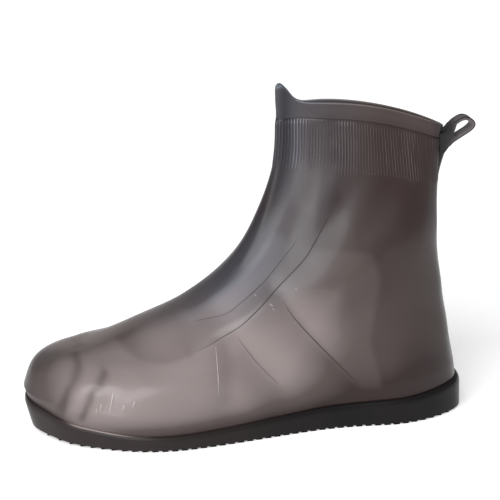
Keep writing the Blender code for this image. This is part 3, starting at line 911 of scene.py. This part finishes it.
def makeCuff():
    # one line up the film for each rib, which the nodes turn into a rounded rib
    foot, head = ribFoot + cuff["ribInset"], ribHead - cuff["ribInset"]
    heads = head - np.array(cuff["headRows"])
    below = np.linspace(foot, head - cuff["headStart"], cuff["ribPoints"] - len(heads))
    rings = [upperRing(row, spaced=cuff["ribs"]) for row in np.concatenate([below, heads])]
    points = np.stack(rings, 1)
    sunk = np.stack([inset(ring, cuff["ribSink"]) for ring in rings], 1)
    tones = filmToneAndShade(points.reshape(-1, 3)).reshape(points.shape[:2])
    front = between(*cuff["frontReach"], toAlong(points[:, 0, 0]))
    uneven, clusters = ribNoise(cuff["unevenStep"], 0.5), ribNoise(cuff["clusterStep"], 2.5)
    shows = cuff["shows"] + cuff["showsInFront"] * front
    shows = shows + cuff["showsInCluster"] * clusters + cuff["showsUnevenly"] * uneven
    shows = np.clip(shows, cuff["showsLeast"], 1)
    shows *= cuff["showsBehind"] + (1 - cuff["showsBehind"]) * front
    points += (sunk - points) * (1 - shows)[:, None, None]
    # painted highlights: the ribs lighter than the film, most at the front, and their heads lighter still
    tones -= (cuff["ribPaintedHighlight"] * shows * (1 + uneven))[:, None]
    tones[:, -len(heads):] -= (cuff["headPaintedHighlight"] * shows * front)[:, None]
    # the ribs end unevenly at their feet
    ragged = cuff["raggedFeet"] * np.abs(uneven[::-1])
    points[:, 0] += (points[:, 1] - points[:, 0]) * ragged[:, None]
    ribs = newLines("cuffRibs", points)
    paint(ribs, "depth", np.clip(tones, 0, 1).ravel())
    paint(ribs, "coolness", coolness(vertices(ribs)))
    roundOff(ribs, cuff["ribHeight"], cuff["ribFade"], cuff["ribSides"], cuffSkin)
    finish(ribs, "root", "ribbed_cuff", None, 60)


def makeBand():
    inner = upper["film"] + band["inner"]
    proud, edge = band["proud"], band["edge"]
    bend = edge / band["height"]
    turns = np.linspace(0, math.pi / 2, band["edgeRings"])
    profile = []
    for up in np.linspace(0, 1 - bend, band["faceRings"]):  # it swells softly out of the film
        profile.append((up, band["sunk"] - (proud + band["sunk"]) * between(0, band["swell"], up)))
    for turn in turns[1:]:  # over the rim
        profile.append((1 - bend + bend * math.sin(turn), -proud + edge * (1 - math.cos(turn))))
    for turn in turns:
        profile.append((1 - bend + bend * math.cos(turn), inner - edge + edge * math.sin(turn)))
    for up in np.linspace(1 - bend, 0, band["edgeRings"])[1:]:
        profile.append((up, inner))
    rings = []
    for up, depth in profile:
        ring = inset(upperRing(ribHead + up, rise=up, spaced=ringCount), depth)
        rings.append(tidyRing(ring) if depth > 0 else ring)
    piece = loft("rimBand", rings, ringClosed=True)
    # painted highlight along the band's top edge
    rimHighlight = np.repeat([between(1 - 2 * bend, 1 - 0.5 * bend, up) for up, depth in profile], ringCount)
    paintFilm(piece, -band["light"] - band["edgePaintedHighlight"] * rimHighlight)
    finish(piece, "root", "rim_band", bandSkin, 60)


def makeSole():
    # the wall stands on the tread, whose grooves leave its lower edge notched
    low = tread["depth"]
    down = sole["edgeDown"]
    rings = []
    for share in np.linspace(0, 1, sole["wallRings"]):
        rings.append(soleRing(low + (wallTops - down - low) * share, 0.0))
    for turn in np.linspace(0, math.pi / 2, sole["edgeRings"] + 1)[1:]:
        rings.append(soleRing(wallTops - down + down * math.sin(turn),
                              sole["edgeAcross"] * (1 - math.cos(turn))))
    rings.append(soleRing(wallTops, sole["wall"]))
    rings.append(soleRing(sole["plate"], sole["wall"]))
    piece = loft("soleBody", rings, firstCap=True, lastCap=True)
    along = toAlong(vertices(piece)[:, 0])
    # painted highlight along the wall's top edge
    lit = np.zeros(len(rings))
    lit[-1 - sole["paintedHighlightRings"]:-1] = sole["edgePaintedHighlight"]
    paintedShine = np.repeat(lit, ringCount)
    paintedShine *= between(*sole["edgePaintedHighlightBack"], along) * between(*sole["edgePaintedHighlightFront"], along)
    paint(piece, "depth", sole["tone"] + sole["heelTone"] * between(*sole["heelToneReach"], along) - paintedShine)
    finish(piece, "root", "outsole", soleSkin, 40)


tread = {
    "pitch": 0.0064,
    "groove": 0.0022,
    "depth": 0.0011,
    "height": 0.00165,  # of a bar, with what of it is sunk in the sole
    "draft": 0.00025,  # how much narrower a bar is at the ground
    "endInset": 0.0002,
}


def makeTread():
    # one line across the sole for each bar, swept with a bar's section by the nodes
    width = tread["pitch"] - tread["groove"]
    edge = soleRing(0.0, 0.0)
    reach = int((sole["length"] / 2 - 2 * sole["tuck"]) / tread["pitch"])
    chains = []
    for index in range(-reach, reach + 1):
        x = index * tread["pitch"]
        spots = x + np.linspace(-0.5, 0.5, 5) * width
        ends = [side * (np.abs(sideAt(edge, side, spots)[0]).min() - tread["endInset"]) for side in (-1, 1)]
        chains.append([(x, y, toeLift(x)) for y in np.linspace(*ends, 3)])
    piece = newLines("treadBars", chains)
    throughNodes(piece, barTree, {"Width": width, "Height": tread["height"], "Draft": tread["draft"],
                                  "Material": treadSkin})
    finish(piece, "root", None, None, 30)


loop = {
    "width": 0.0100,
    "thickness": 0.0020,
    "rounding": 0.0004,
    "reach": 0.0208,
    "rise": 0.0184,
    "drop": 0.0187,
    "path": [(0.0, 0.0), (0.27, 0.38), (0.58, 0.61), (0.89, 0.83), (1.0, 1.0),
             (0.9, 1.16), (0.69, 1.23), (0.47, 1.12), (0.29, 0.95), (0.0, 0.66)],
    "webTip": (0.30, 0.60),
    "eyeStart": 1.6,
    "eyeEnd": 7.4,
    "steps": 8,
    "ahead": 1 / 3,  # how far along the path its direction is measured
    "rootSunk": 0.0024,
    "light": 0.52,  # how much lighter the strap is than its root
    "lightReach": (0.004, 0.011),  # out from the shaft
    "coolness": 0.4,
    "tail": 0.030,  # how far the root runs on down the shaft
    "tailStart": 0.003,
    "tailStands": 0.0046,  # how far it stands out of the shaft at its top
    "tailHalf": 0.0048,
    "tailPoints": 14,
    "tailFade": 0.08,
    "tailSides": 20,
    "bead": 0.00055,  # raised edges of the strap
    "beadSunk": 0.35,
    "beadEnds": (0.6, 0.5),  # how far they start and stop from the path's ends
    "beadStep": 0.18,
    "beadFade": 0.04,
    "beadTone": 0.97,
}


def clearOfShaft(x, z):
    share = (z / upper["backHeight"] - sections["backUp"][ribFoot]) * upper["backHeight"] / cuff["length"]
    back = toX(openTable(sections["back"], min(ribFoot + share, rimRow)))
    return max(x, float(back) + max(cuff["ribHeight"], band["proud"])), z


loopRoot = upper["backHeight"] - loop["drop"]
loopFoot = clearOfShaft(0.0, loopRoot)[0] + upper["gap"] + loop["rounding"]
loopPath = np.array(loop["path"]) * (loop["reach"], loop["rise"]) + (loopFoot, loopRoot)
loopLast = len(loopPath) - 1


def besideLoop(place, distance):
    ahead = loop["ahead"]
    run = openTable(loopPath, min(place + ahead, loopLast)) - openTable(loopPath, max(place - ahead, 0))
    side = np.array([run[1], -run[0]]) / np.linalg.norm(run)
    return openTable(loopPath, place) + side * distance


def loopOutlines():
    # the strap seen from the side, and its eye
    half = loop["thickness"] / 2 - loop["rounding"]
    steps = range(loopLast * loop["steps"] + 1)
    outer = [clearOfShaft(*besideLoop(k / loop["steps"], half)) for k in steps]
    for end in (0, -1):  # the root is sunk in the shaft, which is rounder than the strap
        outer[end] = (outer[end][0] - loop["rootSunk"], outer[end][1])
    eye = [np.array(loop["webTip"]) * (loop["reach"], loop["rise"]) + (loopFoot, loopRoot)]
    eye += [besideLoop(k, -half) for k in np.arange(loop["eyeStart"], loop["eyeEnd"], 1 / loop["steps"])]
    return outer, eye


def makeStrap():
    curve = bpy.data.curves.new("pullLoop", "CURVE")
    curve.dimensions = "2D"
    curve.fill_mode = "BOTH"
    curve.extrude = loop["width"] / 2 - loop["rounding"]
    curve.bevel_depth = loop["rounding"]
    curve.bevel_resolution = 3
    for outline in loopOutlines():
        spline = curve.splines.new("POLY")
        spline.points.add(len(outline) - 1)
        for point, (x, z) in zip(spline.points, outline):
            point.co = (x, z, 0, 1)
        spline.use_cyclic_u = True
    drawn = newPiece("loopOutline", curve)
    drawn.rotation_euler.x = math.radians(90)
    bpy.context.view_layer.update()
    graph = bpy.context.evaluated_depsgraph_get()
    mesh = bpy.data.meshes.new_from_object(drawn.evaluated_get(graph))
    mesh.transform(drawn.matrix_world)
    bpy.data.objects.remove(drawn)
    welded = bmesh.new()
    welded.from_mesh(mesh)
    bmesh.ops.remove_doubles(welded, verts=welded.verts, dist=0.00001)
    bmesh.ops.recalc_face_normals(welded, faces=welded.faces)
    welded.to_mesh(mesh)
    welded.free()
    strap = newPiece("pullLoop", mesh)
    fromRoot = vertices(strap)[:, 0] - loopFoot
    paint(strap, "depth", 1.0 - loop["light"] * between(*loop["lightReach"], fromRoot))
    paint(strap, "coolness", loop["coolness"])
    finish(strap, "root", "pull_loop", strapSkin, 40)


def makeStrapTail():
    # the strap's root runs out down the back of the shaft
    chain = []
    for share in np.linspace(0, 1, loop["tailPoints"]):
        z = loopRoot + loop["tailStart"] - share * loop["tail"]
        stands = loop["tailStands"] * (1 - share) ** 2
        chain.append((edgeLine("back", z) + stands - loop["tailHalf"], 0.0, z))
    tail = newLines("loopTail", [chain])
    paint(tail, "depth", 1.0)
    roundOff(tail, loop["tailHalf"], loop["tailFade"], loop["tailSides"], strapSkin)
    finish(tail, "root", None, None, 60)


def makeStrapEdges():
    # raised edges along both sides of the strap, on its outer face
    distance = loop["thickness"] / 2 - loop["bead"] * loop["beadSunk"]
    start, stop = loop["beadEnds"]
    places = np.arange(start, loopLast - stop, loop["beadStep"])
    flat = [clearOfShaft(*besideLoop(place, distance)) for place in places]
    across = loop["width"] / 2 - loop["bead"]
    beads = newLines("loopEdges", [[(x, side * across, z) for x, z in flat] for side in (-1, 1)])
    paint(beads, "depth", loop["beadTone"])
    paint(beads, "coolness", loop["coolness"])
    roundOff(beads, loop["bead"], loop["beadFade"], line["sides"], strapSkin)
    finish(beads, "root", None, None, 60)


makeSole()
makeTread()
filmShape = filmRings()
makeUpper(filmShape)
makeLines("filmWrinkles", wrinkles, wrinkleSkin, filmShape)
makeLines("filmFolds", folds, filmSkin, filmShape)
makeCuff()
makeBand()
makeStrap()
makeStrapTail()
makeStrapEdges()

studio = {
    "sky": 0.34,
    "sun": 3.0,
    "sunFrom": (-1.0, -1.55, 1.35),
    "sunAt": (0, 0, 0.05),
    "sunAngle": 45,  # degrees, the softness of its shadow
    "box": 2.2,  # watts of the light beside the toe
    "boxSize": 0.42,
    "boxFrom": (-0.95, -0.75, 0.34),
    "boxAt": (-0.12, -0.05, 0.04),
    "floor": (0.86, 0.86, 0.86, 1),
    "floorRoughness": 0.9,
    "floorGlow": 0.38,  # light of its own, as on a lit table
    "floorReach": 12,
    "floorDrop": 0.0001,  # under the tread
}

camera = {
    "azimuth": -11.3,  # degrees
    "elevation": 17.0,
    "distance": 1.5,
    "target": (0.01362, 0.04776, 0.100),
    "lens": 156.6,  # mm, and the sensor's width
    "sensor": 36,
}


def makeStage():
    mesh = bpy.data.meshes.new("studioFloor")
    reach = studio["floorReach"]
    corners = [(-reach, -reach, 0), (reach, -reach, 0), (reach, reach, 0), (-reach, reach, 0)]
    mesh.from_pydata(corners, [], [(0, 1, 2, 3)])
    floor = newPiece("studioFloor", mesh)
    floor.location.z = -studio["floorDrop"]
    pale = bpy.data.materials.new("paleFloor")
    pale.use_nodes = True
    feed(pale.node_tree, pale.node_tree.nodes["Principled BSDF"], {
        "Base Color": studio["floor"], "Roughness": studio["floorRoughness"],
        "Emission Color": (1, 1, 1, 1), "Emission Strength": studio["floorGlow"]})
    mesh.materials.append(pale)


def aim(piece, target):
    piece.rotation_euler = (Vector(target) - piece.location).to_track_quat("-Z", "Y").to_euler()


def newLight(name, kind, power, place, target):
    data = bpy.data.lights.new(name, kind)
    data.energy = power
    light = newPiece(name, data)
    light.location = place
    aim(light, target)
    return data


def makeLights():
    world = bpy.data.worlds.new("studio")
    world.use_nodes = True
    feed(world.node_tree, world.node_tree.nodes["Background"], {
        "Color": (1, 1, 1, 1), "Strength": studio["sky"]})
    bpy.context.scene.world = world
    sun = newLight("daylight", "SUN", studio["sun"], studio["sunFrom"], studio["sunAt"])
    sun.angle = math.radians(studio["sunAngle"])
    box = newLight("toeBox", "AREA", studio["box"], studio["boxFrom"], studio["boxAt"])
    box.size = studio["boxSize"]


def makeCamera():
    around, above = math.radians(camera["azimuth"]), math.radians(camera["elevation"])
    back = Vector((math.sin(around) * math.cos(above), -math.cos(around) * math.cos(above),
                   math.sin(above)))
    data = bpy.data.cameras.new("photoView")
    data.lens = camera["lens"]
    data.sensor_width = camera["sensor"]
    data.clip_start = 0.05
    piece = newPiece("photoView", data)
    piece.location = Vector(camera["target"]) + back * camera["distance"]
    aim(piece, camera["target"])
    bpy.context.scene.camera = piece


makeStage()
makeLights()
makeCamera()
bpy.context.scene.view_settings.view_transform = "Standard"
print("stage, lights and camera set")
